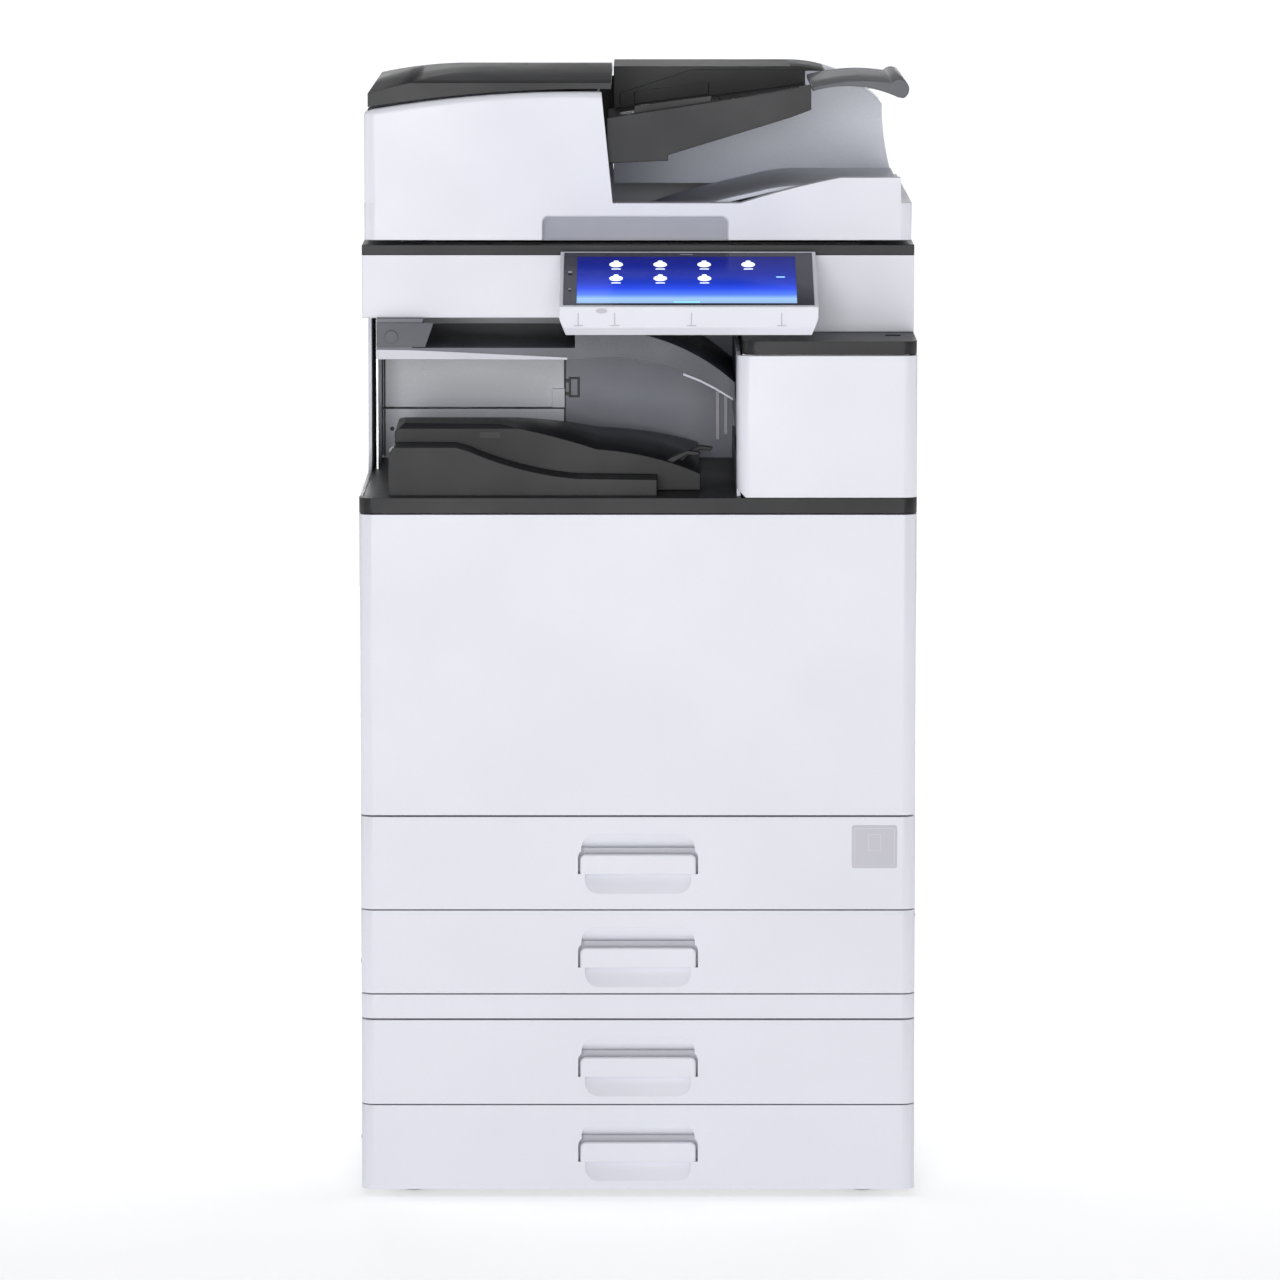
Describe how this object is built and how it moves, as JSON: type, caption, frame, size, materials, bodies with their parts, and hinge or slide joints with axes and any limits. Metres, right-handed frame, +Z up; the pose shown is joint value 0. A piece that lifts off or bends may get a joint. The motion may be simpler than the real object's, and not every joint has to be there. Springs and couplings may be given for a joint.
{
  "type": "photocopier",
  "caption": "Floor-standing office photocopier with a document feeder, tilting touch panel, in-body delivery tray and pull-out paper trays.",
  "frame": {"origin": "on the floor, under the middle of the outline", "axes": "+X to the right seen from the front, front faces -Y, +Z up"},
  "size_m": [0.587, 0.685, 1.1896],
  "materials": {
    "cover_white": "moulded, very fine texture",
    "zinc_steel": "zinc-plated sheet",
    "foot_rubber": "matt",
    "trim_dark": "moulded, fine texture",
    "inner_light_grey": "moulded, satin",
    "inner_blue_grey": "moulded, satin",
    "duct_grey": "moulded, satin",
    "feeder_grey": "moulded, satin",
    "extension_grey": "moulded, satin",
    "inner_mid_grey": "moulded, satin",
    "platen_glass": "float glass",
    "carriage_black": "moulded, satin",
    "bezel_black": "gloss",
    "screen": "lit display",
    "cushion_white": "foam faced with film",
    "roller_rubber": "ground rubber",
    "drum_coating": "coated aluminium tube",
    "fuser_sleeve": "coated sleeve",
    "toner_plastic": "moulded"
  },
  "bodies": {
    "cabinet": {"base_frame": "zinc_steel", "rubber_feet": "foot_rubber", "left_cover": "cover_white", "right_cover": "cover_white", "rear_cover": "cover_white", "bank_front_strip": "cover_white", "deck_cover": "trim_dark", "upper_right_cover": "cover_white", "upper_right_cap": "trim_dark", "exit_tray": "trim_dark", "cavity_rear_panel": "inner_light_grey", "exit_guides": "inner_blue_grey", "one_bin_tray": "duct_grey", "scanner_case": "cover_white", "scanner_top_frame": "trim_dark", "scan_glass": "platen_glass", "panel_bracket": "zinc_steel", "adf_hinge_brackets": "zinc_steel", "inner_cover": "inner_light_grey", "engine_side_plates": "zinc_steel", "laser_unit": "carriage_black", "power_inlet": "carriage_black"},
    "front_door": {"front_door": "cover_white"},
    "panel": {"panel_housing": "cover_white", "panel_bezel": "bezel_black", "panel_screen": "screen"},
    "feeder": {"adf_base": "cover_white", "adf_left_cover": "cover_white", "adf_rear_housing": "feeder_grey", "adf_output_ramp": "feeder_grey", "platen_cushion": "cushion_white"},
    "feeder_top_cover": {"adf_top_cover": "trim_dark"},
    "input_tray": {"adf_input_tray": "trim_dark"},
    "tray_extension": {"adf_tray_extension": "extension_grey"},
    "side_guide_front": {"adf_side_guide_front": "trim_dark"},
    "side_guide_rear": {"adf_side_guide_rear": "trim_dark"},
    "feed_roller": {"adf_feed_roller": "roller_rubber"},
    "lamp_carriage": {"scanner_carriage": "carriage_black"},
    "mirror_carriage": {"mirror_carriage": "carriage_black"},
    "drum": {"photoconductor_drum": "drum_coating"},
    "hot_roller": {"fuser_hot_roller": "fuser_sleeve"},
    "pressure_roller": {"fuser_pressure_roller": "roller_rubber"},
    "exit_roller": {"exit_roller": "roller_rubber"},
    "toner_bottle": {"toner_bottle": "toner_plastic"},
    "right_door": {"right_door": "cover_white"},
    "bypass_tray": {"bypass_tray": "cover_white"},
    "bank_side_door": {"bank_side_door": "cover_white"},
    "power_switch": {"power_switch": "carriage_black"},
    "tray_1": {"tray_1_front": "cover_white", "tray_1_pan": "inner_mid_grey"},
    "lift_plate_1": {"tray_1_lift_plate": "zinc_steel"},
    "tray_2": {"tray_2_front": "cover_white", "tray_2_pan": "inner_mid_grey"},
    "lift_plate_2": {"tray_2_lift_plate": "zinc_steel"},
    "tray_3": {"tray_3_front": "cover_white", "tray_3_pan": "inner_mid_grey"},
    "lift_plate_3": {"tray_3_lift_plate": "zinc_steel"},
    "tray_4": {"tray_4_front": "cover_white", "tray_4_pan": "inner_mid_grey"},
    "lift_plate_4": {"tray_4_lift_plate": "zinc_steel"}
  },
  "joints": [
    {"name": "front_door_hinge", "type": "hinge", "parent": "cabinet", "child": "front_door", "pos_m": [-0.286, -0.2855, 0.573], "axis": [0, 0, -1], "range_deg": [0, 100]},
    {"name": "tray_1_slide", "type": "slide", "parent": "cabinet", "child": "tray_1", "axis": [0, -1, 0], "range_m": [0, 0.42]},
    {"name": "tray_1_lift", "type": "hinge", "parent": "tray_1", "child": "lift_plate_1", "pos_m": [-0.06, -0.0545, 0.32575], "axis": [0, -1, 0], "range_deg": [0, 10]},
    {"name": "tray_2_slide", "type": "slide", "parent": "cabinet", "child": "tray_2", "axis": [0, -1, 0], "range_m": [0, 0.42]},
    {"name": "tray_2_lift", "type": "hinge", "parent": "tray_2", "child": "lift_plate_2", "pos_m": [-0.06, -0.0545, 0.23575], "axis": [0, -1, 0], "range_deg": [0, 10]},
    {"name": "tray_3_slide", "type": "slide", "parent": "cabinet", "child": "tray_3", "axis": [0, -1, 0], "range_m": [0, 0.42]},
    {"name": "tray_3_lift", "type": "hinge", "parent": "tray_3", "child": "lift_plate_3", "pos_m": [-0.06, -0.0545, 0.11675], "axis": [0, -1, 0], "range_deg": [0, 10]},
    {"name": "tray_4_slide", "type": "slide", "parent": "cabinet", "child": "tray_4", "axis": [0, -1, 0], "range_m": [0, 0.42]},
    {"name": "tray_4_lift", "type": "hinge", "parent": "tray_4", "child": "lift_plate_4", "pos_m": [-0.06, -0.0545, 0.02475], "axis": [0, -1, 0], "range_deg": [0, 10]},
    {"name": "panel_tilt", "type": "hinge", "parent": "cabinet", "child": "panel", "pos_m": [0.053, -0.1955, 0.962], "axis": [-1, 0, 0], "range_deg": [-6, 18]},
    {"name": "feeder_lift", "type": "hinge", "parent": "cabinet", "child": "feeder", "pos_m": [0, 0.3285, 1.018], "axis": [-1, 0, 0], "range_deg": [0, 70]},
    {"name": "feeder_top_cover_hinge", "type": "hinge", "parent": "feeder", "child": "feeder_top_cover", "pos_m": [-0.284, 0.0685, 1.16], "axis": [0, -1, 0], "range_deg": [0, 70]},
    {"name": "input_tray_lift", "type": "hinge", "parent": "feeder", "child": "input_tray", "pos_m": [-0.03, -0.0035, 1.11], "axis": [0, -1, 0], "range_deg": [0, 25]},
    {"name": "extension_fold", "type": "hinge", "parent": "input_tray", "child": "tray_extension", "pos_m": [0.1875, 0.0075, 1.171], "axis": [0, -1, 0], "range_deg": [0, 150]},
    {"name": "side_guide_front_slide", "type": "slide", "parent": "input_tray", "child": "side_guide_front", "axis": [0, 1, 0], "range_m": [0, 0.09]},
    {"name": "side_guide_rear_slide", "type": "slide", "parent": "input_tray", "child": "side_guide_rear", "axis": [0, -1, 0], "range_m": [0, 0.09]},
    {"name": "feed_roller_spin", "type": "hinge", "parent": "feeder", "child": "feed_roller", "pos_m": [-0.072, 0.0705, 1.142], "axis": [0, 1, 0], "continuous": true},
    {"name": "lamp_carriage_slide", "type": "slide", "parent": "cabinet", "child": "lamp_carriage", "axis": [1, 0, 0], "range_m": [0, 0.44]},
    {"name": "mirror_carriage_slide", "type": "slide", "parent": "cabinet", "child": "mirror_carriage", "axis": [1, 0, 0], "range_m": [0, 0.22]},
    {"name": "drum_spin", "type": "hinge", "parent": "cabinet", "child": "drum", "pos_m": [0.18, -0.0695, 0.54], "axis": [0, 1, 0], "continuous": true},
    {"name": "hot_roller_spin", "type": "hinge", "parent": "cabinet", "child": "hot_roller", "pos_m": [0.204, -0.0695, 0.65], "axis": [0, 1, 0], "continuous": true},
    {"name": "pressure_roller_spin", "type": "hinge", "parent": "cabinet", "child": "pressure_roller", "pos_m": [0.2363, -0.0695, 0.65], "axis": [0, 1, 0], "continuous": true},
    {"name": "exit_roller_spin", "type": "hinge", "parent": "cabinet", "child": "exit_roller", "pos_m": [0.119, -0.0545, 0.799], "axis": [0, 1, 0], "continuous": true},
    {"name": "toner_bottle_spin", "type": "hinge", "parent": "cabinet", "child": "toner_bottle", "pos_m": [-0.15, -0.0895, 0.643], "axis": [0, 1, 0], "continuous": true},
    {"name": "right_door_hinge", "type": "hinge", "parent": "cabinet", "child": "right_door", "pos_m": [0.2915, 0.1765, 0.573], "axis": [0, 0, 1], "range_deg": [0, 85]},
    {"name": "bypass_tray_hinge", "type": "hinge", "parent": "right_door", "child": "bypass_tray", "pos_m": [0.289, -0.0495, 0.484], "axis": [0, 1, 0], "range_deg": [0, 75]},
    {"name": "bank_side_door_hinge", "type": "hinge", "parent": "cabinet", "child": "bank_side_door", "pos_m": [0.2915, 0.1765, 0.113], "axis": [0, 0, 1], "range_deg": [0, 85]},
    {"name": "power_switch_rock", "type": "hinge", "parent": "cabinet", "child": "power_switch", "pos_m": [-0.182, 0.3345, 0.069], "axis": [1, 0, 0], "range_deg": [0, 14]}
  ],
  "couplings": [
    {"joint": "side_guide_rear_slide", "follows": "side_guide_front_slide", "ratio": 1},
    {"joint": "mirror_carriage_slide", "follows": "lamp_carriage_slide", "ratio": 0.5},
    {"joint": "pressure_roller_spin", "follows": "hot_roller_spin", "ratio": -1}
  ]
}
